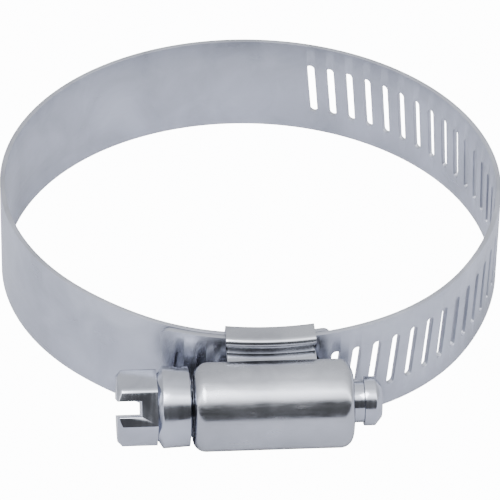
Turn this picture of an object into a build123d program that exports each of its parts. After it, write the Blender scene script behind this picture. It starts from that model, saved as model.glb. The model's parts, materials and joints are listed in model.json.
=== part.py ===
"""Worm-drive hose clamp with a half-inch band, drawn nearly fully open.

Frame: millimetres, +Z along the loop's axis, origin at the loop's centre, halfway across
the band. The screw housing is at -Y. The screw lies along X with its hex head at -X.
The slotted end of the band comes to the housing from +X and passes out at -X.

The band is one strip. It is held here as three rigid lengths that meet at two flex lines,
one at each side of the loop, so that the loop can close as the screw is turned.
"""

import os
from math import asin, atan2, cos, degrees, pi, radians, sin, tan

from build123d import *

# ---- band ----
hose_radius = 29.8          # bore of the loop, the radius of the hose it grips
band_width = 12.7
band_thickness = 0.6
slot_pitch = 2.6            # along the middle of the strip, equal to the thread's pitch
slot_length = 7.0
slot_width = 1.05
slot_count = 38
slots_past_centre = 5       # slots that have already passed the middle of the housing
slot_phase = 2.23           # from the housing's middle to the next slot towards +X
tail_margin = 2.0           # from the tail's end to the middle of the first slot
tail_corner_radius = 1.1
plain_tip_length = 7.2      # plain end past the middle of the housing
flex_gap = 0.2              # between two lengths at a flex line
plain_blend_end = 46.0      # degrees from the housing where the plain end meets the loop
slotted_blend_end = 78.0    # degrees from the housing where the slotted end meets the loop

# ---- saddle, the strap that ties the housing to the band ----
saddle_thickness = 0.6
saddle_width = 10.3
saddle_bend_radius = 0.75
lock_dimple_radius = 1.1    # pressed in the plain end, sits in a hole of the saddle
lock_dimple_offset = 2.6    # from the middle of the saddle, one each side

# ---- housing ----
housing_length = 18.5
housing_wall = 0.65
housing_end_radius = 1.5
lip_corner_radius = 2.0
lip_setback = 1.2           # from the saddle's folded arms out to the housing's lip

# ---- screw ----
thread_radius = 4.3         # over the crests
thread_depth = 1.1
thread_tip_width = 0.45
thread_runout = 0.7         # plain core left at each end of the thread
thread_flank = 16.0         # degrees from square
thread_bite = 0.4           # how far the crest reaches into the slotted strip
thread_root_sink = 0.2      # how deep the thread's foot is sunk in the core
neck_radius = 2.45
collar_radius = 4.75
collar_taper = 0.15
collar_length = 3.1
collar_edge_radius = 0.45
collar_gap = 0.3            # from the housing to the collar's face
pilot_radius = 3.6          # thrust ring between collar and housing
cone_length = 0.6
hex_across_flats = 7.8
hex_length = 4.65
hex_corner_radius = 0.7
hex_end_chamfer = 0.7
hex_root_step = 0.1         # the turned stub inside the hex is this much smaller
driver_slot_width = 1.85
driver_slot_depth = 2.8
head_turn = 36.5            # degrees about X from -Y to the middle of a flat, as drawn
neck_length = 1.25          # of the far neck, outside the housing
tip_radius = 2.85
tip_length = 1.3
tip_cone_length = 0.8
tip_end_radius = 1.9

# ---- fits ----
seat_gap = 0.03             # between parts that are clamped together
edge_gap = 0.12             # between the bands' edges and the saddle's arms
slide_gap = 0.08            # each side of the strip that slides through the housing
thread_gap = 0.35           # over the thread's crests, inside the housing
bearing_gap = 0.08          # round the necks, in the end walls
thrust_gap = 0.1            # end float of the screw

# ---- motion ----
turns_closed = 2.0          # turns that it can be tightened
passage_margin = 1.0        # degrees of even strip kept beyond the plain tip

tolerance = 1e-3            # for picking edges by their place

# ---- what follows from them ----
plain_radius = hose_radius + saddle_thickness + seat_gap
slotted_radius = plain_radius + band_thickness + slide_gap
ear_radius = slotted_radius + band_thickness + slide_gap
arm_radius = ear_radius + housing_wall + seat_gap
half_width = band_width / 2
thread_core_radius = thread_radius - thread_depth
screw_y = -(slotted_radius + band_thickness - thread_bite + thread_radius)
cap_inner_radius = thread_radius + thread_gap
cap_radius = cap_inner_radius + housing_wall
lip_y = -(arm_radius + saddle_thickness + lip_setback)
housing_end = housing_length / 2
slotted_mid_radius = slotted_radius + band_thickness / 2
turn_angle = degrees(slot_pitch / slotted_mid_radius)
plain_tip_angle = degrees(plain_tip_length / (plain_radius + band_thickness / 2))
plain_even_angle = degrees(asin(saddle_width / 2 / hose_radius)) + passage_margin
slotted_even_angle = plain_tip_angle + turns_closed * turn_angle + passage_margin
core_end = housing_end - housing_wall - thrust_gap
collar_face = housing_end + collar_gap
collar_back = collar_face + collar_length
hex_face = collar_back + cone_length
plain_flex_point = Vector(-hose_radius - band_thickness / 2, 0)
tail_length = slots_past_centre * slot_pitch - slot_phase + tail_margin


def on_circle(radius, angle):
    """A point at this radius, with the angle in degrees from the housing towards +X."""
    return Vector(radius * sin(radians(angle)), -radius * cos(radians(angle)))


def heading(angle, way):
    """The direction round the loop at this angle, towards +X (1) or -X (-1)."""
    return Vector(cos(radians(angle)), sin(radians(angle))) * way


def joining_arcs(start, start_heading, end, end_heading):
    """Two tangent arcs that join two points, square to neither."""
    across = end - start
    bend = 2 * (start_heading.dot(end_heading) - 1)
    along = across.dot(start_heading + end_heading)
    reach = (along - (along**2 - bend * across.dot(across)) ** 0.5) / bend
    meeting = (start + start_heading * reach + end - end_heading * reach) / 2
    first = TangentArc(start, meeting, tangent=start_heading)
    second = TangentArc(meeting, end, tangent=first % 1)
    return [*first.edges(), *second.edges()]


def strip_line(layer_radius, start, even_end, blend_end, end):
    """Middle line of a strip that leaves its layer at the housing and settles on the hose."""
    way = 1 if end > start else -1
    layer = layer_radius + band_thickness / 2
    loop = hose_radius + band_thickness / 2
    front = CenterArc((0, 0), layer, start - 90, even_end - start)
    blend = joining_arcs(
        on_circle(layer, even_end),
        heading(even_end, way),
        on_circle(loop, blend_end),
        heading(blend_end, way),
    )
    back = CenterArc((0, 0), loop, blend_end - 90, end - blend_end)
    return Wire([*front.edges(), *blend, *back.edges()])


def strip(line):
    """The solid strip whose middle follows this line."""
    half = band_thickness / 2
    left = offset(line, half, side=Side.LEFT, closed=False).wire()
    right = offset(line, half, side=Side.RIGHT, closed=False).wire()
    outline = [*left.edges(), *right.edges()]
    for corner in (left @ 0, left @ 1):
        facing = min((right @ 0, right @ 1), key=lambda other: (other - corner).length)
        outline.append(Line(corner, facing).edge())
    sheet = make_face(outline)
    return extrude(Pos(0, 0, -half_width) * sheet, band_width)


def strip_plane(line, distance):
    """A plane on the strip, facing through its thickness, with its x axis across it."""
    point = line.position_at(distance, PositionMode.LENGTH)
    along = line.tangent_at(distance, PositionMode.LENGTH)
    return Plane(origin=point, x_dir=(0, 0, 1), z_dir=along.cross(Vector(0, 0, 1)))


def flex_cut(point, gap):
    """A thin block across the strip at a flex line, square to the loop."""
    angle = degrees(atan2(point.Y, point.X))
    block = Box(5 * band_thickness, gap, 2 * band_width)
    return Pos(point.X, point.Y) * Rot(0, 0, angle) * block


def corner_cutters(line):
    """Two blocks that round the corners of the strip's first end."""
    plane = strip_plane(line, 0)
    way = 1 if plane.y_dir.dot(line % 0) > 0 else -1
    inset = tail_corner_radius
    cutters = []
    for side in (1, -1):
        corner = Pos(side * half_width, 0) * Rectangle(2 * inset, 2 * inset)
        corner -= Pos(side * (half_width - inset), way * inset) * Circle(inset)
        cutters.append(extrude(plane * corner, 2 * band_thickness, both=True))
    return cutters


def make_slotted_sections():
    """The slotted strip, from its tail round by +X to the flex line at -X, in two lengths."""
    start = -degrees(tail_length / slotted_mid_radius)
    line = strip_line(slotted_radius, start, slotted_even_angle, slotted_blend_end, 270)
    flex_point = slotted_flex_point(line)
    body = strip(line) - flex_cut(flex_point, flex_gap) - flex_cut(plain_flex_point, flex_gap)
    slotted, back = sorted(body.solids(), key=lambda piece: piece.center().Y)
    lean = degrees(slot_pitch / (2 * pi * (thread_radius - thread_bite / 2)))
    slot = SlotOverall(slot_length, slot_width)
    cutters = []
    for index in range(slot_count):
        plane = strip_plane(line, tail_margin + index * slot_pitch)
        cutters.append(extrude(plane * Rot(0, 0, -lean) * slot, 2 * band_thickness, both=True))
    return (slotted - cutters - corner_cutters(line)).solid(), (back - cutters).solid()


def slotted_flex_point(line):
    """Where the slotted strip flexes at +X, midway between two slots."""
    quarter = line.length - pi * (hose_radius + band_thickness / 2)
    bays = round((quarter - tail_margin) / slot_pitch - 0.5) + 0.5
    return line.position_at(tail_margin + bays * slot_pitch, PositionMode.LENGTH)


def make_plain_section():
    """The plain end, from its tip under the slotted strip to the flex line at -X."""
    line = strip_line(plain_radius, plain_tip_angle, -plain_even_angle, -plain_blend_end, -90)
    body = strip(line) - flex_cut(plain_flex_point, flex_gap)
    bore = Cylinder(hose_radius, 2 * band_width)
    for dimple in lock_pins(lock_dimple_radius):
        body += dimple - bore
    return body.solid()


def lock_pins(radius):
    """Two round pins, from the middle of the plain strip in through the saddle."""
    pins = []
    for side in (1, -1):
        angle = side * degrees(lock_dimple_offset / plain_radius)
        centre = on_circle(plain_radius + band_thickness / 2, angle)
        plane = Plane(origin=centre, x_dir=(0, 0, 1), z_dir=-centre)
        pins.append(extrude(plane * Circle(radius), band_thickness + 2 * saddle_thickness))
    return pins


def make_saddle():
    """Curved base inside the loop, with an arm folded over each edge of the bands."""
    arm_top = half_width + edge_gap + saddle_thickness
    outer_radius = arm_radius + saddle_thickness
    leg_end = cap_radius + seat_gap
    outside = Pos((hose_radius + outer_radius) / 2, 0) * Rectangle(
        outer_radius - hose_radius, 2 * arm_top
    )
    outside = fillet(outside.vertices(), saddle_bend_radius)
    inside = Pos((plain_radius - seat_gap + arm_radius) / 2, 0) * Rectangle(
        arm_radius - plain_radius + seat_gap, 2 * (half_width + edge_gap)
    )
    inside = fillet(inside.vertices(), saddle_bend_radius - saddle_thickness)
    opening = Pos(outer_radius, 0) * Rectangle(4 * saddle_thickness, 2 * leg_end)
    profile = outside - inside - opening
    ring = revolve(Plane.XZ * profile, Axis.Z)
    strap = ring & Pos(0, -hose_radius) * Box(saddle_width, hose_radius, 3 * half_width)
    for hole in lock_pins(lock_dimple_radius + seat_gap):
        strap -= hole
    return strap.solid()


def cap_block(radius, half_length, end_radius, base_y):
    """A D-shaped block along X, round on its outer side, with its ends rounded over."""
    depth = base_y - screw_y
    section = Circle(radius) & Pos(-radius, 0) * Rectangle(2 * radius, 2 * radius)
    section += Pos(depth / 2, 0) * Rectangle(depth, 2 * radius)
    block = extrude(Plane.YZ * Pos(screw_y, 0) * section, half_length, both=True)
    ends = block.edges().filter_by(lambda e: abs(abs(e.center().X) - half_length) < tolerance)
    rim = ends.filter_by(lambda e: e.center().Y < base_y - tolerance)
    return fillet(rim, end_radius)


def lip_corner_cutters():
    """Two blocks that round the lip's corners, seen from above."""
    inset = lip_corner_radius
    cutters = []
    for side in (1, -1):
        corner = Pos(side * housing_end, lip_y) * Rectangle(2 * inset, 2 * inset)
        corner -= Pos(side * (housing_end - inset), lip_y - inset) * Circle(inset)
        cutters.append(extrude(corner, 2 * cap_radius, both=True))
    return cutters


def make_housing():
    """Drawn cap over the screw, with an ear at each edge that lies on the slotted strip."""
    cavity_end = housing_end - housing_wall
    shell = cap_block(cap_radius, housing_end, housing_end_radius, lip_y)
    cavity_base = lip_y + housing_wall
    inner_end_radius = housing_end_radius - housing_wall
    shell -= cap_block(cap_inner_radius, cavity_end, inner_end_radius, cavity_base)
    shell -= lip_corner_cutters()
    notch_radius = neck_radius + bearing_gap
    notch = Circle(notch_radius)
    notch += Pos(thread_radius, 0) * Rectangle(2 * thread_radius, 2 * notch_radius)
    shell -= extrude(Plane.YZ * Pos(screw_y, 0) * notch, housing_length, both=True)
    upper, lower = make_ears()
    return (shell + upper + lower).solid()


def make_ears():
    """Flat bridge from each lip, bent up to lie on the strip's outside."""
    leg_top = half_width - seat_gap
    reach = -lip_y - ear_radius + housing_wall
    profile = Pos(ear_radius + housing_wall / 2, (cap_inner_radius + leg_top) / 2) * Rectangle(
        housing_wall, leg_top - cap_inner_radius
    )
    profile += Pos(ear_radius + reach / 2, cap_radius - housing_wall / 2) * Rectangle(
        reach, housing_wall
    )
    ring = revolve(Plane.XZ * profile, Axis.Z)
    block = Pos(0, lip_y + hose_radius / 2) * Box(saddle_width, hose_radius, 3 * half_width)
    upper = ring & block
    return [upper, mirror(upper, about=Plane.XY)]


def make_thread(half_length):
    """Right-handed worm thread along Z, cut square at both ends."""
    base = thread_core_radius - thread_root_sink
    spread = (thread_depth + thread_root_sink) * tan(radians(thread_flank))
    tip = thread_tip_width / 2
    turns = 2 * (half_length + slot_pitch)
    path = Helix(slot_pitch, turns, base, center=(0, 0, -half_length - slot_pitch))
    profile = Plane(origin=path @ 0, x_dir=(1, 0, 0), z_dir=(0, 1, 0)) * make_face(
        Polyline(
            (0, -tip - spread),
            (thread_radius - base, -tip),
            (thread_radius - base, tip),
            (0, tip + spread),
            close=True,
        )
    )
    ridge = sweep(profile, path=path, is_frenet=True)
    return ridge & Cylinder(2 * thread_radius, 2 * half_length)


def make_shaft():
    """Everything turned on the screw, along X: collar, thrust ring, core, necks and tip."""
    tip_start = housing_end + neck_length
    stub_end = hex_face + hex_length / 4
    stub_radius = hex_across_flats / 2 - hex_root_step
    outline = Polyline(
        (-stub_end, 0),
        (-stub_end, stub_radius),
        (-hex_face, stub_radius),
        (-collar_back, collar_radius),
        (-collar_face, collar_radius - collar_taper),
        (-collar_face, pilot_radius),
        (-housing_end - thrust_gap, pilot_radius),
        (-housing_end - thrust_gap, neck_radius),
        (-core_end, neck_radius),
        (-core_end, thread_core_radius),
        (core_end, thread_core_radius),
        (core_end, neck_radius),
        (tip_start, neck_radius),
        (tip_start, tip_radius),
        (tip_start + tip_length, tip_radius),
        (tip_start + tip_length + tip_cone_length, tip_end_radius),
        (tip_start + tip_length + tip_cone_length, 0),
        close=True,
    )
    shaft = revolve(make_face(outline), Axis.X)
    at_face = shaft.edges().filter_by(GeomType.CIRCLE).filter_by(
        lambda e: abs(e.center().X + collar_face) < tolerance
    )
    return fillet(at_face.sort_by(SortBy.RADIUS)[-1:], collar_edge_radius)


def make_head():
    """Hex head along -X with a driver slot that runs square to two of its flats."""
    corner = hex_across_flats / 2 / cos(radians(30))
    prism = extrude(RegularPolygon(corner, 6), hex_length)
    prism = fillet(prism.edges().filter_by(Axis.Z), hex_corner_radius)
    dome = Pos(0, 0, hex_length / 2) * Cylinder(corner, hex_length)
    dome = chamfer(dome.edges().sort_by(Axis.Z)[-1:], hex_end_chamfer)
    notch = Box(driver_slot_width, 4 * corner, 2 * driver_slot_depth)
    prism = (prism & dome) - Pos(0, 0, hex_length) * notch
    return Pos(-hex_face) * Rot(0, -90, 0) * prism


def make_screw():
    """The screw in its place, with a crest of its thread over the slots at the middle."""
    thread_end = core_end - thread_runout
    crest_turn = 360 * ((slot_pitch / 4 - thread_end - slot_phase) / slot_pitch % 1)
    worm = Rot(crest_turn, 0, 0) * Rot(0, 90, 0) * make_thread(thread_end)
    head = Rot(-head_turn, 0, 0) * make_head()
    return Pos(0, screw_y) * (make_shaft() + worm + head).solid()


slotted_section, back_section = make_slotted_sections()
pieces = {
    "band_plain_section": make_plain_section(),
    "band_back_section": back_section,
    "band_slotted_section": slotted_section,
    "saddle": make_saddle(),
    "housing": make_housing(),
    "screw": make_screw(),
}

os.makedirs("parts", exist_ok=True)
for name, piece in pieces.items():
    piece.label = name
    export_step(piece, f"parts/{name}.step")
    print(name, round(piece.volume, 2), piece.is_valid)
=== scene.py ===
# %% [markdown]
# # A worm-drive hose clamp
#
# The clamp is a slotted steel band bent into a loop, a strap called the saddle, a drawn cap that
# holds a worm screw, and the screw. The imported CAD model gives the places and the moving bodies.
# This lesson models every piece again with Blender's own tools, on those places, so that the
# edges are rounded, the curves are smooth and the steel can have its grain.

import json
from math import asin, atan2, cos, pi, radians, sin, tan

import bpy
from mathutils import Matrix, Vector


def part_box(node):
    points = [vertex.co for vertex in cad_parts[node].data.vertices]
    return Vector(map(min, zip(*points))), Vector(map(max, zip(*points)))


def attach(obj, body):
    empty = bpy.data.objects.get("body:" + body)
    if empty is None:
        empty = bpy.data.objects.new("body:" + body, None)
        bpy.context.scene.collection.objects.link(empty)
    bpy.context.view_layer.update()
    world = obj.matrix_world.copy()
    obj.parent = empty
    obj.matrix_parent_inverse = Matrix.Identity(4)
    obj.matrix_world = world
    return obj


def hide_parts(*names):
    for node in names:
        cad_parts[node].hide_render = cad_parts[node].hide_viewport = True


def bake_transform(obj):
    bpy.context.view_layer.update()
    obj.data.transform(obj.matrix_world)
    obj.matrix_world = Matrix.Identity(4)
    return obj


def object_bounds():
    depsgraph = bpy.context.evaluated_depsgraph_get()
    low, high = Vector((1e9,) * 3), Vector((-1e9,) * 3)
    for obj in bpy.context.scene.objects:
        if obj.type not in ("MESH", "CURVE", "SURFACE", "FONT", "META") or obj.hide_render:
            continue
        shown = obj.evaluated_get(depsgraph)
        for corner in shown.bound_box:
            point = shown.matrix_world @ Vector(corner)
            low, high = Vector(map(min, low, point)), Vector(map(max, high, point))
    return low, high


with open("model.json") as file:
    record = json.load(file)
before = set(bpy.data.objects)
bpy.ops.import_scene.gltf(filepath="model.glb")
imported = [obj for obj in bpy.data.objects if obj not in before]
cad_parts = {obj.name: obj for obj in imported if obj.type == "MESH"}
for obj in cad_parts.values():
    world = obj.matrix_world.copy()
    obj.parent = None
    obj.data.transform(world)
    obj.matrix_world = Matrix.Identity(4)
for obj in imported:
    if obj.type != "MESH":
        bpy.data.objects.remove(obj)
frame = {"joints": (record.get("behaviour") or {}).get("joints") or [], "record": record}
cad_low, cad_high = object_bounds()
MM = 0.001
TINY = 1e-7
print("CAD box", [round(v / MM, 2) for v in (*cad_low, *cad_high)])

# %% [markdown]
# ## Sizes
#
# The bore of the loop and the screw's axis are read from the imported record. The gauges of the
# strip and of the sheet are the few sizes that everything else follows.

# %% Sizes shared by the pieces
BORE = frame["record"]["mounts"][0]["dims"]["r_mm"] * MM
SCREW_Y = frame["joints"][0]["pos_m"][1]
HALF_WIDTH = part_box("band_back_section")[1].z
GAUGE = 0.6 * MM
SEAT_GAP = 0.03 * MM
SLIDE_GAP = 0.08 * MM
WALL = 0.65 * MM
PLAIN_LAYER = BORE + GAUGE + SEAT_GAP
SLOTTED_LAYER = PLAIN_LAYER + GAUGE + SLIDE_GAP
EAR_LAYER = SLOTTED_LAYER + GAUGE + SLIDE_GAP
ARM_LAYER = EAR_LAYER + WALL + SEAT_GAP
LAYERS = (PLAIN_LAYER, SLOTTED_LAYER, EAR_LAYER, ARM_LAYER)
print("layers at the housing", [round(radius / MM, 2) for radius in LAYERS])

# %% [markdown]
# ## A few habits
#
# An operator acts on whatever is selected, so each step starts with nothing selected. Faces,
# edges and points are then picked by where they are, as one would by eye.


# %% Helpers for picking and finishing
def deselect_all():
    """Nothing selected, object mode."""
    if bpy.context.object and bpy.context.object.mode != "OBJECT":
        bpy.ops.object.mode_set(mode="OBJECT")
    bpy.ops.object.select_all(action="DESELECT")


def only(obj):
    """Make obj the one selected and active object."""
    deselect_all()
    obj.select_set(True)
    bpy.context.view_layer.objects.active = obj
    return obj


def started(name):
    """Name the primitive that an operator has just added."""
    obj = bpy.context.object
    obj.name = name
    obj.data.name = name
    return obj


def pick(obj, kind, test):
    """Select the points, edges or faces that pass the test, and stay in edit mode."""
    bpy.ops.object.mode_set(mode="OBJECT")
    mesh = obj.data
    for group in (mesh.polygons, mesh.edges, mesh.vertices):
        group.foreach_set("select", [False] * len(group))
    if kind == "VERT":
        for point in mesh.vertices:
            point.select = test(point.co)
    elif kind == "EDGE":
        for edge in mesh.edges:
            a, b = (mesh.vertices[index].co for index in edge.vertices)
            edge.select = test(a, b)
    else:
        for face in mesh.polygons:
            face.select = test(face.center, face.normal)
    bpy.context.tool_settings.mesh_select_mode = [kind == name for name in ("VERT", "EDGE", "FACE")]
    bpy.ops.object.mode_set(mode="EDIT")


def pick_all(obj):
    """In edit mode, select the whole mesh."""
    only(obj)
    bpy.ops.object.mode_set(mode="EDIT")
    bpy.ops.mesh.select_all(action="SELECT")


def settle(obj):
    """Apply every modifier in turn, and put the object's place into its mesh."""
    only(obj)
    for modifier in list(obj.modifiers):
        bpy.ops.object.modifier_apply(modifier=modifier.name)
    bpy.ops.object.transform_apply(location=True, rotation=True, scale=True)
    return obj


def cut(obj, tool, operation="DIFFERENCE"):
    """Cut obj with a tool mesh, or join them, and throw the tool away."""
    modifier = obj.modifiers.new("cut", "BOOLEAN")
    modifier.operation = operation
    modifier.solver = "EXACT"
    modifier.object = tool
    settle(obj)
    bpy.data.objects.remove(tool)
    return obj


def soften(obj, width, segments=2, angle=radians(35)):
    """Round every edge sharper than the angle."""
    modifier = obj.modifiers.new("soften", "BEVEL")
    modifier.width = width
    modifier.segments = segments
    modifier.limit_method = "ANGLE"
    modifier.angle_limit = angle
    modifier.miter_outer = "MITER_ARC"
    modifier.harden_normals = False
    return settle(obj)


def smooth(obj, angle=radians(40)):
    """Smooth shading that keeps the creases."""
    only(obj)
    bpy.ops.object.shade_smooth_by_angle(angle=angle)
    print(obj.name, "faces", len(obj.data.polygons))
    return obj


# %% [markdown]
# ## The camera
#
# The view is from above and a little to the left of the screw's housing. A long lens far away
# keeps the ellipse of the loop nearly the same at the front and at the back. The lens is
# shifted a little, which frames the clamp without turning the view.

# %% Camera above the screw
CAMERA_AZIMUTH = radians(-4.95)
CAMERA_HEIGHT = radians(36.29)
CAMERA_ROLL = radians(1.37)
CAMERA_DISTANCE = 0.471
CAMERA_SHIFT = (0.0006, -0.0593)
FRAME_SHARE = 7.704

aim = Vector((
    sin(CAMERA_AZIMUTH) * cos(CAMERA_HEIGHT),
    -cos(CAMERA_AZIMUTH) * cos(CAMERA_HEIGHT),
    sin(CAMERA_HEIGHT),
))
bpy.ops.object.camera_add(location=aim * CAMERA_DISTANCE)
camera = bpy.context.object
camera.name = "camera"
facing = aim.to_track_quat("Z", "Y").to_matrix().to_4x4()
roll = Matrix.Rotation(CAMERA_ROLL, 4, "Z")
camera.matrix_world = Matrix.Translation(aim * CAMERA_DISTANCE) @ facing @ roll
camera.data.lens = camera.data.sensor_width * FRAME_SHARE
camera.data.shift_x, camera.data.shift_y = CAMERA_SHIFT
camera.data.clip_start = 0.01
bpy.context.scene.camera = camera
print("camera", [round(v, 4) for v in camera.location], "lens", round(camera.data.lens, 1))

# %% [markdown]
# ## The band
#
# The real band starts as a flat strip. Its slots are punched, its edges are rolled, and only
# then is it bent round. Blender can follow the same order: a long box is divided along its
# length, the slots are cut with a Boolean, the edges are bevelled, and a Curve modifier bends
# the finished strip along the loop's middle line. Bending last keeps the slots true.

# %% The strip's sizes
SLOT_PITCH = 2.6 * MM
SLOT_COUNT = 38
SLOT_LENGTH = 7.0 * MM
SLOT_WIDTH = 1.05 * MM
SLOT_LEAN = radians(5.76)
SLOTS_PAST_CENTRE = 5
SLOT_PHASE = 2.23 * MM
TAIL_MARGIN = 2.0 * MM
TAIL_LENGTH = SLOTS_PAST_CENTRE * SLOT_PITCH - SLOT_PHASE + TAIL_MARGIN
PLAIN_TIP_LENGTH = 7.2 * MM
SLOTTED_MIDDLE = SLOTTED_LAYER + GAUGE / 2
PLAIN_MIDDLE = PLAIN_LAYER + GAUGE / 2
LOOP_MIDDLE = BORE + GAUGE / 2
TAIL_ANGLE = TAIL_LENGTH / SLOTTED_MIDDLE
TIP_ANGLE = PLAIN_TIP_LENGTH / PLAIN_MIDDLE
SLOTTED_EVEN = TIP_ANGLE + 2 * SLOT_PITCH / SLOTTED_MIDDLE + radians(1)
PLAIN_EVEN = radians(10.95)
SLOTTED_BLEND = radians(78)
PLAIN_BLEND = radians(46)


# %% [markdown]
# ### The loop's middle line
#
# Seen from above, the strip lies on three circles about the loop's centre: the outer layer at
# the housing, the loop, and the inner layer at the housing. Two tangent arcs join each pair, so
# the strip never kinks. The line is a Bezier curve with points every few degrees, whose handles
# have the length that makes a Bezier follow a circle.


# %% Arcs of the middle line
def round_loop(radius, angle):
    """A point at this radius, the angle counted from the housing towards +X."""
    return Vector((radius * sin(angle), -radius * cos(angle), 0))


def along_loop(angle):
    """The direction of the strip there, counter-clockwise from above."""
    return Vector((cos(angle), sin(angle), 0))


def arc_between(start, heading, end):
    """Centre and turn of the arc from start, with this heading, to end."""
    inward = Vector((-heading.y, heading.x, 0))
    across = end - start
    radius = across.length_squared / (2 * across.dot(inward))
    centre = start + inward * radius
    turn = atan2((start - centre).cross(end - centre).z, (start - centre).dot(end - centre))
    return centre, start, turn


def joining_arcs(radius_a, angle_a, radius_b, angle_b):
    """Two tangent arcs from one circle to the other."""
    start, end = round_loop(radius_a, angle_a), round_loop(radius_b, angle_b)
    head_a, head_b = along_loop(angle_a), along_loop(angle_b)
    across = end - start
    bend = 2 * (head_a.dot(head_b) - 1)
    reach_sum = across.dot(head_a + head_b)
    reach = (reach_sum - (reach_sum**2 - bend * across.length_squared) ** 0.5) / bend
    meeting = (start + head_a * reach + end - head_b * reach) / 2
    first = arc_between(start, head_a, meeting)
    middle_heading = Matrix.Rotation(first[2], 3, "Z") @ head_a
    return [first, arc_between(meeting, middle_heading, end)]


full_turn = 2 * pi
origin = Vector((0, 0, 0))
arcs = [(origin, round_loop(SLOTTED_MIDDLE, -TAIL_ANGLE), TAIL_ANGLE + SLOTTED_EVEN)]
arcs += joining_arcs(SLOTTED_MIDDLE, SLOTTED_EVEN, LOOP_MIDDLE, SLOTTED_BLEND)
arcs.append((origin, round_loop(LOOP_MIDDLE, SLOTTED_BLEND), full_turn - PLAIN_BLEND - SLOTTED_BLEND))
arcs += joining_arcs(LOOP_MIDDLE, full_turn - PLAIN_BLEND, PLAIN_MIDDLE, full_turn - PLAIN_EVEN)
arcs.append((origin, round_loop(PLAIN_MIDDLE, -PLAIN_EVEN), PLAIN_EVEN + TIP_ANGLE))
strip_length = sum((start - centre).length * turn for centre, start, turn in arcs)
print("strip length", round(strip_length / MM, 2), "mm in", len(arcs), "arcs")


# %% Draw the middle line as a curve
STEP = radians(7.5)


def middle_line(arcs):
    """A Bezier curve through the arcs, with handles that keep it round."""
    knots = []
    for centre, start, turn in arcs:
        spoke = start - centre
        count = max(1, round(turn / STEP))
        reach = 4 / 3 * tan(turn / count / 4) * spoke.length
        for index in range(count + 1):
            arm = Matrix.Rotation(turn * index / count, 3, "Z") @ spoke
            heading = Vector((-arm.y, arm.x, 0)).normalized()
            if index == 0 and knots:
                knots[-1][2] = reach
                continue
            knots.append([centre + arm, heading, reach, reach])
    curve = bpy.data.curves.new("middle_line", "CURVE")
    curve.dimensions = "3D"
    curve.twist_mode = "Z_UP"
    curve.resolution_u = 24
    spline = curve.splines.new("BEZIER")
    spline.bezier_points.add(len(knots) - 1)
    for point, (place, heading, ahead, behind) in zip(spline.bezier_points, knots):
        point.handle_left_type = point.handle_right_type = "FREE"
        point.co = place
        point.handle_left = place - heading * behind
        point.handle_right = place + heading * ahead
    line = bpy.data.objects.new("middle_line", curve)
    bpy.context.scene.collection.objects.link(line)
    return line


line = middle_line(arcs)
print("middle line points", len(line.data.splines[0].bezier_points))

# %% [markdown]
# ### Punch, round and bend the strip
#
# The flat strip stands on edge: X runs along it, Z across its width and Y through its
# thickness. It is cut once where the loop's back lies, because the band belongs to three moving
# bodies and a piece can bend across only one joint. Its flat coordinates are kept in an
# attribute called "grain" before it is bent, so the rolling marks of the steel can follow the
# strip round the loop.

# %% Flat strip with its slots
COLUMN = 0.26 * MM
TAIL_CORNER = 1.1 * MM
TAIL_SEGMENTS = 6
SLOT_COLUMNS = 28
EDGE_ROUND = 0.1 * MM
SEAM_ANGLE = radians(205)


def flat_strip():
    """A box as long as the strip, with the corners of its ends rounded."""
    deselect_all()
    bpy.ops.mesh.primitive_cube_add(size=1, location=(strip_length / 2, 0, 0))
    strip = started("band")
    strip.scale = (strip_length, GAUGE, 2 * HALF_WIDTH)
    settle(strip)
    pick(strip, "EDGE", lambda a, b: abs(a.x - b.x) < TINY and abs(a.z - b.z) < TINY)
    bpy.ops.mesh.bevel(offset=TAIL_CORNER, segments=TAIL_SEGMENTS, affect="EDGES")
    bpy.ops.object.mode_set(mode="OBJECT")
    return strip


def divide_lengthwise(strip):
    """Cut the strip across into narrow columns, so that it can bend."""
    count = round(strip_length / COLUMN)
    bpy.ops.object.mode_set(mode="EDIT")
    for index in range(1, count):
        place = (index * strip_length / count, 0, 0)
        bpy.ops.mesh.select_all(action="SELECT")
        bpy.ops.mesh.bisect(plane_co=place, plane_no=(1, 0, 0), threshold=TINY)
    bpy.ops.object.mode_set(mode="OBJECT")
    return strip


def slot_cutter():
    """One slot as a solid, and a copy of it at every pitch."""
    deselect_all()
    bpy.ops.mesh.primitive_cylinder_add(
        vertices=SLOT_COLUMNS, radius=SLOT_WIDTH / 2, depth=4 * GAUGE, rotation=(pi / 2, 0, 0)
    )
    cutter = started("slots")
    settle(cutter)
    for side in (1, -1):
        pick(cutter, "VERT", lambda co: co.z * side > TINY)
        bpy.ops.transform.translate(value=(0, 0, side * (SLOT_LENGTH - SLOT_WIDTH) / 2))
    bpy.ops.object.mode_set(mode="OBJECT")
    cutter.rotation_euler = (0, SLOT_LEAN, 0)
    cutter.location = (TAIL_MARGIN, 0, 0)
    settle(cutter)
    row = cutter.modifiers.new("row", "ARRAY")
    row.count = SLOT_COUNT
    row.use_relative_offset = False
    row.use_constant_offset = True
    row.constant_offset_displace = (SLOT_PITCH, 0, 0)
    return settle(cutter)


band = flat_strip()
divide_lengthwise(band)
cut(band, slot_cutter())
soften(band, EDGE_ROUND)
print("flat strip faces", len(band.data.polygons))

# %% [markdown]
# ### Two halves, bent
#
# Each half is a copy of the flat strip, cut at the seam and capped there. The Curve modifier
# lays the strip's X along the middle line and keeps its width upright. The seam lies where the
# strip is plain.

# %% Cut it at the back, keep the flat place, and bend each half
LOOP_ARC = 3
lengths = [(start - centre).length * turn for centre, start, turn in arcs]
seam = sum(lengths[:LOOP_ARC]) + LOOP_MIDDLE * (SEAM_ANGLE - SLOTTED_BLEND)


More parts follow.
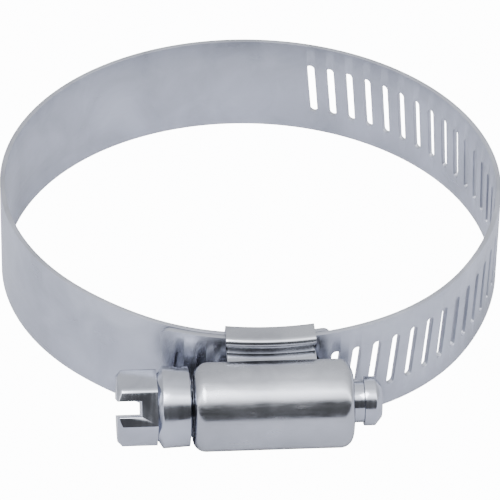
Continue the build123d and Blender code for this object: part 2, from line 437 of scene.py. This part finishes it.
def half_strip(name, keep_start):
    """The strip on one side of the seam, capped there, with its flat place remembered."""
    half = bpy.data.objects.new(name, band.data.copy())
    half.data.name = name
    bpy.context.scene.collection.objects.link(half)
    pick_all(half)
    bpy.ops.mesh.bisect(
        plane_co=(seam, 0, 0), plane_no=(1, 0, 0), use_fill=True,
        clear_outer=keep_start, clear_inner=not keep_start, threshold=TINY,
    )
    bpy.ops.object.mode_set(mode="OBJECT")
    grain = half.data.attributes.new("grain", "FLOAT_VECTOR", "POINT")
    places = [0.0] * (3 * len(half.data.vertices))
    half.data.vertices.foreach_get("co", places)
    grain.data.foreach_set("vector", places)
    bend = half.modifiers.new("bend", "CURVE")
    bend.object = line
    bend.deform_axis = "POS_X"
    settle(half)
    return smooth(half)


slotted_half = half_strip("band_slotted_half", True)
plain_half = half_strip("band_plain_half", False)
for spent in (band, line):
    bpy.data.objects.remove(spent)

# %% [markdown]
# ### The lock dimples
#
# The plain end can't slide out of the saddle because two round dimples, pressed through it, sit
# in two holes of the saddle. Each is a short cylinder with a rounded rim, turned to point at the
# loop's axis, and joined to the strip that it is pressed from.

# %% Two dimples on the plain end
DIMPLE_RADIUS = 1.1 * MM
DIMPLE_OFFSET = 2.6 * MM
DIMPLE_DEPTH = 0.85 * MM
DIMPLE_RIM = 0.2 * MM
DIMPLE_SIDES = 40


def dimple_place(side):
    """Where a dimple's middle lies, and its turn about the loop's axis."""
    angle = side * DIMPLE_OFFSET / PLAIN_LAYER
    return round_loop(BORE + DIMPLE_DEPTH / 2, angle), angle


def dimple(side):
    """One dimple, with the rim that shows inside the saddle rounded."""
    place, angle = dimple_place(side)
    deselect_all()
    bpy.ops.mesh.primitive_cylinder_add(
        vertices=DIMPLE_SIDES, radius=DIMPLE_RADIUS, depth=DIMPLE_DEPTH
    )
    button = started("dimple")
    pick(button, "FACE", lambda centre, normal: normal.z > 0.9)
    bpy.ops.mesh.bevel(offset=DIMPLE_RIM, segments=4, affect="EDGES")
    bpy.ops.object.mode_set(mode="OBJECT")
    button.rotation_euler = (-pi / 2, 0, angle)
    button.location = place
    return settle(button)


def join(pieces, name):
    """Join pieces into one object with this name."""
    only(pieces[0])
    for piece in pieces[1:]:
        piece.select_set(True)
    bpy.ops.object.join()
    joined = bpy.context.object
    joined.name = joined.data.name = name
    return smooth(joined)


plain_half = join([plain_half, dimple(1), dimple(-1)], "band_plain_half")

# %% [markdown]
# ## The saddle
#
# The saddle is one strip of sheet, folded into a C that holds the band's two ends and the
# housing's ears. Only the fold's middle line is drawn, as a chain of points whose corners are
# bevelled into bends. Spin carries it round the loop's axis, Bisect trims the two sides flat,
# and Solidify gives the sheet its thickness on both sides of the line.


# %% A chain of points, and a spun sheet
BEND_SEGMENTS = 5
SPIN_MARGIN = 1.2
SPIN_STEPS = 36


def chain(name, points):
    """A wire through points, started from a plane that is merged to one vertex."""
    deselect_all()
    bpy.ops.mesh.primitive_plane_add(size=MM)
    wire = started(name)
    bpy.ops.object.mode_set(mode="EDIT")
    bpy.ops.mesh.select_mode(type="VERT")
    bpy.ops.mesh.select_all(action="SELECT")
    bpy.ops.mesh.merge(type="CENTER")
    bpy.ops.transform.translate(value=points[0])
    for before, after in zip(points, points[1:]):
        step = Vector(after) - Vector(before)
        bpy.ops.mesh.extrude_region_move(TRANSFORM_OT_translate={"value": step})
    bpy.ops.object.mode_set(mode="OBJECT")
    return wire


def tidy_normals(obj):
    """Merge doubles and turn every face outwards."""
    pick_all(obj)
    bpy.ops.mesh.remove_doubles(threshold=TINY)
    bpy.ops.mesh.normals_make_consistent(inside=False)
    bpy.ops.object.mode_set(mode="OBJECT")
    return obj


def curved_sheet(name, points, bends, radius, thickness, half_length):
    """A folded sheet that follows the loop at the housing, trimmed flat at both sides."""
    sheet = chain(name, [(r, 0, z) for r, z in points])
    corners = [Vector((points[index][0], 0, points[index][1])) for index in bends]
    pick(sheet, "VERT", lambda co: any((co - corner).length < TINY for corner in corners))
    bpy.ops.mesh.bevel(offset=radius, segments=BEND_SEGMENTS, affect="VERTICES")
    bpy.ops.object.mode_set(mode="OBJECT")
    reach = SPIN_MARGIN * asin(half_length / BORE)
    sheet.rotation_euler = (0, 0, -pi / 2 + reach)
    settle(sheet)
    pick_all(sheet)
    bpy.ops.mesh.spin(steps=SPIN_STEPS, angle=2 * reach, center=(0, 0, 0), axis=(0, 0, 1))
    for side in (1, -1):
        bpy.ops.mesh.select_all(action="SELECT")
        bpy.ops.mesh.bisect(
            plane_co=(side * half_length, 0, 0), plane_no=(side, 0, 0), clear_outer=True, threshold=TINY
        )
    tidy_normals(sheet)
    wall = sheet.modifiers.new("wall", "SOLIDIFY")
    wall.thickness = thickness
    wall.offset = 0
    return settle(sheet)


# %% Fold the saddle and pierce it for the dimples
SADDLE_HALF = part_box("saddle")[1].x
ARM_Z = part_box("saddle")[1].z - GAUGE / 2
SADDLE_BASE = BORE + GAUGE / 2
SADDLE_LEG = ARM_LAYER + GAUGE / 2
CAP_RADIUS = 5.3 * MM
LEG_END = CAP_RADIUS + SEAT_GAP
SADDLE_BEND = 0.45 * MM

saddle = curved_sheet(
    "saddle_strap",
    [
        (SADDLE_LEG, -LEG_END),
        (SADDLE_LEG, -ARM_Z),
        (SADDLE_BASE, -ARM_Z),
        (SADDLE_BASE, ARM_Z),
        (SADDLE_LEG, ARM_Z),
        (SADDLE_LEG, LEG_END),
    ],
    bends=(1, 2, 3, 4), radius=SADDLE_BEND, thickness=GAUGE, half_length=SADDLE_HALF,
)
for side in (1, -1):
    place, angle = dimple_place(side)
    deselect_all()
    bpy.ops.mesh.primitive_cylinder_add(
        vertices=DIMPLE_SIDES, radius=DIMPLE_RADIUS + SEAT_GAP, depth=4 * GAUGE,
        location=place, rotation=(-pi / 2, 0, angle),
    )
    cut(saddle, started("hole"))
soften(saddle, EDGE_ROUND)
smooth(saddle)

# %% [markdown]
# ## The housing
#
# The housing is drawn from sheet in a press, so it is round everywhere: a D-shaped cap with
# rounded ends, open towards the band. It starts as a cylinder along the screw. Bisect takes its
# inner half away, the open edge is extruded up to the lip, and the end rims are bevelled. Only
# then does Solidify add the wall inwards, which keeps the inside of each rim parallel.

# %% Draw the cap
HOUSING_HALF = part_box("housing")[1].x
LIP_SETBACK = 1.2 * MM
LIP_Y = -(ARM_LAYER + GAUGE + LIP_SETBACK)
END_ROUND = 1.5 * MM
END_SEGMENTS = 8
LIP_CORNER = 2.0 * MM
LIP_SEGMENTS = 10
CAP_EDGE = 0.12 * MM
NECK_RADIUS = 2.45 * MM
BEARING_GAP = 0.08 * MM


def at_screw_height(a, b):
    """Whether an edge lies in the plane where the half cylinder ends."""
    return abs(a.y - SCREW_Y) + abs(b.y - SCREW_Y) < TINY


def on_end_rim(a, b):
    """Whether an edge belongs to the rim of one end wall, the open lip left out."""
    return abs(a.x + b.x) > 2 * (HOUSING_HALF - TINY) and min(a.y, b.y) < LIP_Y - TINY


def drawn_cap():
    """The cap's outer skin: half a cylinder, walls up to the lip, and rounded ends."""
    deselect_all()
    bpy.ops.mesh.primitive_cylinder_add(
        vertices=96, radius=CAP_RADIUS, depth=2 * HOUSING_HALF,
        location=(0, SCREW_Y, 0), rotation=(0, pi / 2, 0),
    )
    cap = started("housing_cap")
    settle(cap)
    pick_all(cap)
    bpy.ops.mesh.bisect(
        plane_co=(0, SCREW_Y, 0), plane_no=(0, 1, 0), clear_outer=True, threshold=TINY
    )
    pick(cap, "EDGE", at_screw_height)
    bpy.ops.mesh.extrude_region_move(TRANSFORM_OT_translate={"value": (0, LIP_Y - SCREW_Y, 0)})
    pick(cap, "EDGE", lambda a, b: at_screw_height(a, b) and abs(a.z - b.z) > TINY)
    bpy.ops.mesh.dissolve_edges()
    tidy_normals(cap)
    pick(cap, "EDGE", on_end_rim)
    bpy.ops.mesh.bevel(offset=END_ROUND, segments=END_SEGMENTS, affect="EDGES")
    bpy.ops.object.mode_set(mode="OBJECT")
    wall = cap.modifiers.new("wall", "SOLIDIFY")
    wall.thickness = WALL
    wall.offset = -1
    return settle(cap)


def rounded_lip_block():
    """A block that keeps all of the cap but the corners of its lip."""
    depth = 4 * CAP_RADIUS
    deselect_all()
    bpy.ops.mesh.primitive_cube_add(size=1, location=(0, LIP_Y - depth / 2, 0))
    block = started("lip_block")
    block.scale = (2 * HOUSING_HALF, depth, depth)
    settle(block)
    pick(block, "EDGE", lambda a, b: abs(a.z - b.z) > TINY and a.y > LIP_Y - TINY)
    bpy.ops.mesh.bevel(offset=LIP_CORNER, segments=LIP_SEGMENTS, affect="EDGES")
    bpy.ops.object.mode_set(mode="OBJECT")
    return block


def neck_notch():
    """A U-shaped bar through both end walls, for the screw's necks."""
    deselect_all()
    bpy.ops.mesh.primitive_cylinder_add(
        vertices=48, radius=NECK_RADIUS + BEARING_GAP, depth=3 * HOUSING_HALF,
        location=(0, SCREW_Y, 0), rotation=(0, pi / 2, 0),
    )
    notch = started("notch")
    settle(notch)
    pick(notch, "VERT", lambda co: co.y > SCREW_Y + TINY)
    bpy.ops.transform.translate(value=(0, 2 * CAP_RADIUS, 0))
    bpy.ops.object.mode_set(mode="OBJECT")
    return notch


cap = drawn_cap()
cut(cap, rounded_lip_block(), "INTERSECT")
cut(cap, neck_notch())
soften(cap, CAP_EDGE)
print("cap faces", len(cap.data.polygons))

# %% [markdown]
# ### The ears
#
# At each lip the housing's wall goes on towards the band for the width of the saddle, then turns
# out over the slotted strip. The saddle's arms fold over these ears and clamp them. An ear is
# the same kind of folded sheet as the saddle. It is sunk a hair inside the cap's wall, so that
# no two faces lie on each other.

# %% Fold an ear at each lip
FLUSH_SINK = 0.02 * MM
EAR_EDGE = 0.08 * MM
EAR_ROOT = -LIP_Y + WALL
EAR_MIDDLE = EAR_LAYER + WALL / 2
EAR_Z = CAP_RADIUS - WALL / 2 - FLUSH_SINK
EAR_END = HALF_WIDTH - SEAT_GAP

ears = []
for side in (1, -1):
    ear = curved_sheet(
        "ear",
        [(EAR_ROOT, side * EAR_Z), (EAR_MIDDLE, side * EAR_Z), (EAR_MIDDLE, side * EAR_END)],
        bends=(1,), radius=WALL, thickness=WALL, half_length=SADDLE_HALF,
    )
    ears.append(soften(ear, EAR_EDGE))
housing = join([cap, *ears], "housing_cap")

# %% [markdown]
# ## The screw
#
# The screw is turned and cold formed: a collar, a thrust ring and two necks are one lathe
# profile, spun about the screw's axis. A lathe profile is the shortest way to a shaft whose
# steps all share one axis.

# %% Turn the shaft
CORE_RADIUS = 3.2 * MM
THREAD_RADIUS = 4.3 * MM
COLLAR_RADIUS = 4.75 * MM
COLLAR_GAP = 0.3 * MM
COLLAR_LENGTH = 3.1 * MM
COLLAR_TAPER = 0.15 * MM
CONE_LENGTH = 0.6 * MM
COLLAR_FACE = HOUSING_HALF + COLLAR_GAP
COLLAR_BACK = COLLAR_FACE + COLLAR_LENGTH
HEX_FACE = COLLAR_BACK + CONE_LENGTH
HEX_FLATS = 7.8 * MM
HEX_ROOT = HEX_FLATS / 2 - 0.1 * MM
HEX_SINK = 1.0 * MM
HEX_END = -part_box("screw")[0].x
PILOT_RADIUS = 3.6 * MM
THRUST_GAP = 0.1 * MM
CORE_END = HOUSING_HALF - WALL - THRUST_GAP
TIP_NECK = 1.25 * MM
TIP_START = HOUSING_HALF + TIP_NECK
TIP_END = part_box("screw")[1].x
TIP_RADIUS = 2.85 * MM
TIP_END_RADIUS = 1.9 * MM
TIP_CONE = 0.8 * MM
SHAFT_STEPS = 96
SHAFT_EDGE = 0.12 * MM


def lathe(name, outline, steps):
    """Spin an outline of (x, radius) once round the screw's axis."""
    turned = chain(name, [(x, SCREW_Y + radius, 0) for x, radius in outline])
    pick_all(turned)
    bpy.ops.mesh.spin(steps=steps, angle=2 * pi, center=(0, SCREW_Y, 0), axis=(1, 0, 0))
    return tidy_normals(turned)


shaft = lathe(
    "shaft",
    [
        (-HEX_FACE - HEX_SINK, 0),
        (-HEX_FACE - HEX_SINK, HEX_ROOT),
        (-HEX_FACE, HEX_ROOT),
        (-COLLAR_BACK, COLLAR_RADIUS),
        (-COLLAR_FACE, COLLAR_RADIUS - COLLAR_TAPER),
        (-COLLAR_FACE, PILOT_RADIUS),
        (-HOUSING_HALF - THRUST_GAP, PILOT_RADIUS),
        (-HOUSING_HALF - THRUST_GAP, NECK_RADIUS),
        (-CORE_END, NECK_RADIUS),
        (-CORE_END, CORE_RADIUS),
        (CORE_END, CORE_RADIUS),
        (CORE_END, NECK_RADIUS),
        (TIP_START, NECK_RADIUS),
        (TIP_START, TIP_RADIUS),
        (TIP_END - TIP_CONE, TIP_RADIUS),
        (TIP_END, TIP_END_RADIUS),
        (TIP_END, 0),
    ],
    steps=SHAFT_STEPS,
)
soften(shaft, SHAFT_EDGE, angle=radians(30))
print("shaft faces", len(shaft.data.polygons))

# %% [markdown]
# ### The head
#
# The head is a six-sided prism with rounded corners. Its end is chamfered by keeping only what
# lies inside a coned disc, as on a real bolt head. A driver slot is cut across it, and the
# whole head is then turned to the angle that the screw was left at.

# %% Form the head
HEX_CORNER = 0.7 * MM
HEAD_TURN = radians(36.5)
DRIVER_WIDTH = 1.85 * MM
DRIVER_DEPTH = 2.8 * MM
CHAMFER = 0.7 * MM
HEX_CORNER_REACH = HEX_FLATS / 2 / cos(pi / 6)
HEX_CORNER_SEGMENTS = 6
CONE_STEPS = 72
HEAD_EDGE = 0.1 * MM


def turn_about_screw(obj, turn):
    """Turn a mesh about the screw's axis."""
    pick_all(obj)
    bpy.ops.transform.rotate(value=turn, orient_axis="X", center_override=(0, SCREW_Y, 0))
    bpy.ops.object.mode_set(mode="OBJECT")


def hex_prism():
    """The six-sided prism, corners rounded, two of them at +Z and -Z before it is turned."""
    deselect_all()
    bpy.ops.mesh.primitive_cylinder_add(
        vertices=6, radius=HEX_CORNER_REACH, depth=HEX_END - HEX_FACE,
        location=(-(HEX_END + HEX_FACE) / 2, SCREW_Y, 0), rotation=(0, pi / 2, 0),
    )
    prism = started("head")
    settle(prism)
    turn_about_screw(prism, pi / 6)
    pick(prism, "EDGE", lambda a, b: abs(a.x - b.x) > TINY)
    bpy.ops.mesh.bevel(
        offset=HEX_CORNER * tan(pi / 6), segments=HEX_CORNER_SEGMENTS, affect="EDGES"
    )
    bpy.ops.object.mode_set(mode="OBJECT")
    return prism


def coned_disc():
    """A disc round the prism whose outer edge is chamfered."""
    return lathe(
        "cone",
        [
            (-HEX_END, 0),
            (-HEX_END, HEX_CORNER_REACH - CHAMFER),
            (-HEX_END + CHAMFER, HEX_CORNER_REACH),
            (-HEX_FACE + HEX_SINK, HEX_CORNER_REACH),
            (-HEX_FACE + HEX_SINK, 0),
        ],
        steps=CONE_STEPS,
    )


def driver_slot():
    """A bar across the head, along Y."""
    deselect_all()
    bpy.ops.mesh.primitive_cube_add(size=1, location=(-HEX_END, SCREW_Y, 0))
    bar = started("driver")
    bar.scale = (2 * DRIVER_DEPTH, 4 * COLLAR_RADIUS, DRIVER_WIDTH)
    return settle(bar)


head = hex_prism()
cut(head, coned_disc(), "INTERSECT")
cut(head, driver_slot())
soften(head, HEAD_EDGE)
turn_about_screw(head, HEAD_TURN)
print("head faces", len(head.data.polygons))

# %% [markdown]
# ### The worm thread
#
# The thread is right-handed and rises one slot pitch for each turn, so that it can pull the
# strip along. A trapezoid is drawn beside the axis and the Screw modifier sweeps it. It starts
# so that a crest lies over a slot where the screw meets the band, and both ends are cut square.

# %% Sweep the worm
THREAD_SETBACK = 0.7 * MM
THREAD_END = CORE_END - THREAD_SETBACK
THREAD_FLANK = radians(16)
THREAD_TIP = 0.225 * MM
ROOT_SINK = 0.2 * MM
ROOT_RADIUS = CORE_RADIUS - ROOT_SINK
THREAD_ROOT = THREAD_TIP + (THREAD_RADIUS - ROOT_RADIUS) * tan(THREAD_FLANK)
SWEEP_LEAD_IN = 5
SWEEP_TURNS = 9
SWEEP_STEPS = 48

start_x = SLOT_PHASE - SLOT_PITCH * SWEEP_LEAD_IN
outline = [
    (start_x - THREAD_ROOT, ROOT_RADIUS, 0),
    (start_x - THREAD_TIP, THREAD_RADIUS, 0),
    (start_x + THREAD_TIP, THREAD_RADIUS, 0),
    (start_x + THREAD_ROOT, ROOT_RADIUS, 0),
]
worm = chain("worm", [*outline, outline[0]])
tidy_normals(worm)
sweep = worm.modifiers.new("sweep", "SCREW")
sweep.axis = "X"
sweep.angle = 2 * pi
sweep.screw_offset = SLOT_PITCH
sweep.iterations = SWEEP_TURNS
sweep.steps = sweep.render_steps = SWEEP_STEPS
settle(worm)
for side in (1, -1):
    pick_all(worm)
    bpy.ops.mesh.bisect(
        plane_co=(side * THREAD_END, 0, 0), plane_no=(side, 0, 0),
        clear_outer=True, use_fill=True, threshold=TINY,
    )
    bpy.ops.object.mode_set(mode="OBJECT")
worm.location = (0, SCREW_Y, 0)
settle(worm)
tidy_normals(worm)
quarter = [v.co.x for v in worm.data.vertices if v.co.z > THREAD_RADIUS - 0.01 * MM]
print("worm crests on the upper side at", sorted({round(x / MM, 2) for x in quarter})[:4])
screw = join([shaft, head, worm], "worm_screw")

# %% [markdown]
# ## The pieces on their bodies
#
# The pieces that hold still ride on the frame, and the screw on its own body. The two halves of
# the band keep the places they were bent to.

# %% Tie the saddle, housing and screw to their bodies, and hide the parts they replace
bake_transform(plain_half)
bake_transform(slotted_half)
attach(saddle, "frame")
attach(housing, "frame")
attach(screw, "screw")
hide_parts("band_plain_section")
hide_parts("band_back_section", "band_slotted_section")
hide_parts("saddle")
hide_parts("housing")
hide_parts("screw")

# %% [markdown]
# ## The steel
#
# All the pieces are stainless steel, but each was made another way. The strip was rolled, so it
# has fine lines along its length. The housing was drawn and tumbled, so it is smoother, with
# faint marks. The screw was turned, so its lines run round it. One function builds the metal:
# stretched noise for the lines, and two broader noises for the smudges.


# %% The metal's nodes
TONE_SPREAD = 0.2


def node(tree, kind, **values):
    """Add a node; each value is set on the input of that name."""
    made = tree.nodes.new(kind)
    for name, value in values.items():
        made.inputs[name].default_value = value
    return made


def remap(tree, source, low, high, low_to, high_to):
    """Map a value from one range to another."""
    made = tree.nodes.new("ShaderNodeMapRange")
    for name, value in (("From Min", low), ("From Max", high), ("To Min", low_to), ("To Max", high_to)):
        made.inputs[name].default_value = value
    tree.links.new(source, made.inputs["Value"])
    return made.outputs["Result"]


def steel(name, stretch, tone, gloss, follows_strip=False, line_depth=0.000002):
    """Stainless steel. stretch is the density of the lines along each axis, per metre."""
    metal = bpy.data.materials.new(name)
    metal.use_nodes = True
    tree = metal.node_tree
    shader = tree.nodes["Principled BSDF"]
    if follows_strip:
        place = tree.nodes.new("ShaderNodeAttribute")
        place.attribute_name = "grain"
        place = place.outputs["Vector"]
    else:
        place = tree.nodes.new("ShaderNodeTexCoord").outputs["Object"]
    lines_at = node(tree, "ShaderNodeMapping", Scale=stretch)
    tree.links.new(place, lines_at.inputs["Vector"])
    lines = node(tree, "ShaderNodeTexNoise", Scale=1.0, Detail=4.0, Roughness=0.6)
    tree.links.new(lines_at.outputs["Vector"], lines.inputs["Vector"])
    smudges = node(tree, "ShaderNodeTexNoise", Scale=160.0, Detail=5.0, Roughness=0.55, Distortion=0.6)
    tree.links.new(place, smudges.inputs["Vector"])
    clouds = node(tree, "ShaderNodeTexNoise", Scale=45.0, Detail=2.0)
    tree.links.new(place, clouds.inputs["Vector"])

    shade = tree.nodes.new("ShaderNodeMix")
    shade.data_type = "RGBA"
    shade.inputs["A"].default_value = (*[(1 - TONE_SPREAD) * c for c in tone], 1)
    shade.inputs["B"].default_value = (*[(1 + TONE_SPREAD) * c for c in tone], 1)
    blend_at = tree.nodes.new("ShaderNodeMath")
    blend_at.operation = "ADD"
    tree.links.new(remap(tree, smudges.outputs["Fac"], 0.35, 0.65, 0, 0.5), blend_at.inputs[0])
    tree.links.new(remap(tree, clouds.outputs["Fac"], 0.35, 0.65, 0, 0.5), blend_at.inputs[1])
    tree.links.new(blend_at.outputs["Value"], shade.inputs["Factor"])
    tree.links.new(shade.outputs["Result"], shader.inputs["Base Color"])

    rough = tree.nodes.new("ShaderNodeMath")
    rough.operation = "ADD"
    streaks = remap(tree, lines.outputs["Fac"], 0.3, 0.7, gloss - 0.05, gloss + 0.06)
    tree.links.new(streaks, rough.inputs[0])
    tree.links.new(remap(tree, smudges.outputs["Fac"], 0.3, 0.7, -0.05, 0.07), rough.inputs[1])
    tree.links.new(rough.outputs["Value"], shader.inputs["Roughness"])

    bump = node(tree, "ShaderNodeBump", Strength=0.35, Distance=line_depth)
    tree.links.new(lines.outputs["Fac"], bump.inputs["Height"])
    tree.links.new(bump.outputs["Normal"], shader.inputs["Normal"])
    shader.inputs["Metallic"].default_value = 1
    return metal


# %% Rolled, drawn and turned steel
TONE = (0.44, 0.455, 0.515)
DRAWN_TONE = (0.4, 0.41, 0.45)
rolled = steel("rolled_steel", (60, 9000, 9000), TONE, 0.34, follows_strip=True)
drawn = steel("drawn_steel", (300, 2500, 2500), DRAWN_TONE, 0.2)
turned_steel = steel("turned_steel", (4000, 250, 250), TONE, 0.15, line_depth=0.0000007)
for piece, metal in (
    (plain_half, rolled), (slotted_half, rolled),
    (saddle, drawn), (housing, drawn), (screw, turned_steel),
):
    piece.data.materials.clear()
    piece.data.materials.append(metal)
print("steels", [m.name for m in (rolled, drawn, turned_steel)])

# %% [markdown]
# ## The studio
#
# The clamp lies on white paper. A metal shows what is round it, so the room matters more than
# the lamps: bright above, where the soft box is, darker towards the horizon, where the room
# is, and white paper below. The paper glows to the camera alone, as a light table does, so that
# it stays white beside the steel.

# %% Paper
PAPER_TONE = 0.54
PAPER_BASE = (0.96 * PAPER_TONE, 0.98 * PAPER_TONE, 1.07 * PAPER_TONE, 1)
PAPER_TINT = (0.98, 0.99, 1.0, 1)
PAPER_GLOW = 14.0
FLOOR_SIZE = 3

deselect_all()
bpy.ops.mesh.primitive_plane_add(size=FLOOR_SIZE, location=(0, 0, cad_low.z))
floor = started("floor")
paper = bpy.data.materials.new("paper")
paper.use_nodes = True
tree = paper.node_tree
sheet = tree.nodes["Principled BSDF"]
sheet.inputs["Base Color"].default_value = PAPER_BASE
sheet.inputs["Roughness"].default_value = 0.9
glow = node(tree, "ShaderNodeEmission", Color=PAPER_TINT, Strength=PAPER_GLOW)
seen = tree.nodes.new("ShaderNodeLightPath")
either = tree.nodes.new("ShaderNodeMixShader")
tree.links.new(seen.outputs["Is Camera Ray"], either.inputs["Fac"])
tree.links.new(sheet.outputs["BSDF"], either.inputs[1])
tree.links.new(glow.outputs["Emission"], either.inputs[2])
tree.links.new(either.outputs["Shader"], tree.nodes["Material Output"].inputs["Surface"])
floor.data.materials.append(paper)

# %% [markdown]
# ### The room
#
# The room's brightness follows one angle: up from the horizon in front of the clamp, over the
# top, and down behind it. It is dark low in front of the clamp, brightest between there and
# overhead, and an even grey behind. On the round housing this gives the bright band, the dark
# band under it, and the plain grey below, where the metal shows the paper.

# %% Room and lamp
ROOM_STRENGTH = 6.5
ROOM = (
    (0.0, 0.02), (0.22, 0.025), (0.31, 0.7), (0.36, 1.0),
    (0.43, 0.5), (0.55, 0.26), (0.8, 0.19), (1.0, 0.15),
)

world = bpy.data.worlds.new("studio")
bpy.context.scene.world = world
world.use_nodes = True
room = world.node_tree
direction = room.nodes.new("ShaderNodeTexCoord")
split = room.nodes.new("ShaderNodeSeparateXYZ")
room.links.new(direction.outputs["Generated"], split.inputs["Vector"])
forward = node(room, "ShaderNodeMath")
forward.operation = "MULTIPLY"
forward.inputs[1].default_value = -1
room.links.new(split.outputs["Y"], forward.inputs[0])
angle = room.nodes.new("ShaderNodeMath")
angle.operation = "ARCTAN2"
room.links.new(split.outputs["Z"], angle.inputs[0])
room.links.new(forward.outputs["Value"], angle.inputs[1])
ramp = room.nodes.new("ShaderNodeValToRGB")
room.links.new(remap(room, angle.outputs["Value"], 0, pi, 0, 1), ramp.inputs["Fac"])
ramp.color_ramp.interpolation = "EASE"
stops = ramp.color_ramp.elements
while len(stops) < len(ROOM):
    stops.new(0.5)
for stop, (place, shade) in zip(stops, ROOM):
    stop.position = place
    stop.color = (0.97 * shade, 0.985 * shade, shade, 1)
sky = room.nodes["Background"]
sky.inputs["Strength"].default_value = ROOM_STRENGTH
room.links.new(ramp.outputs["Color"], sky.inputs["Color"])


def softbox(name, place, size, power):
    """A square area light that faces the clamp."""
    bpy.ops.object.light_add(type="AREA", location=place)
    lamp = bpy.context.object
    lamp.name = name
    lamp.data.size = size
    lamp.data.energy = power
    lamp.rotation_euler = Vector(place).to_track_quat("Z", "Y").to_euler()
    return lamp


KEY_PLACE = (-0.2, -0.25, 0.55)
KEY_SIZE = 0.25
KEY_POWER = 3
softbox("key", KEY_PLACE, KEY_SIZE, KEY_POWER)
print("room stops", len(stops))
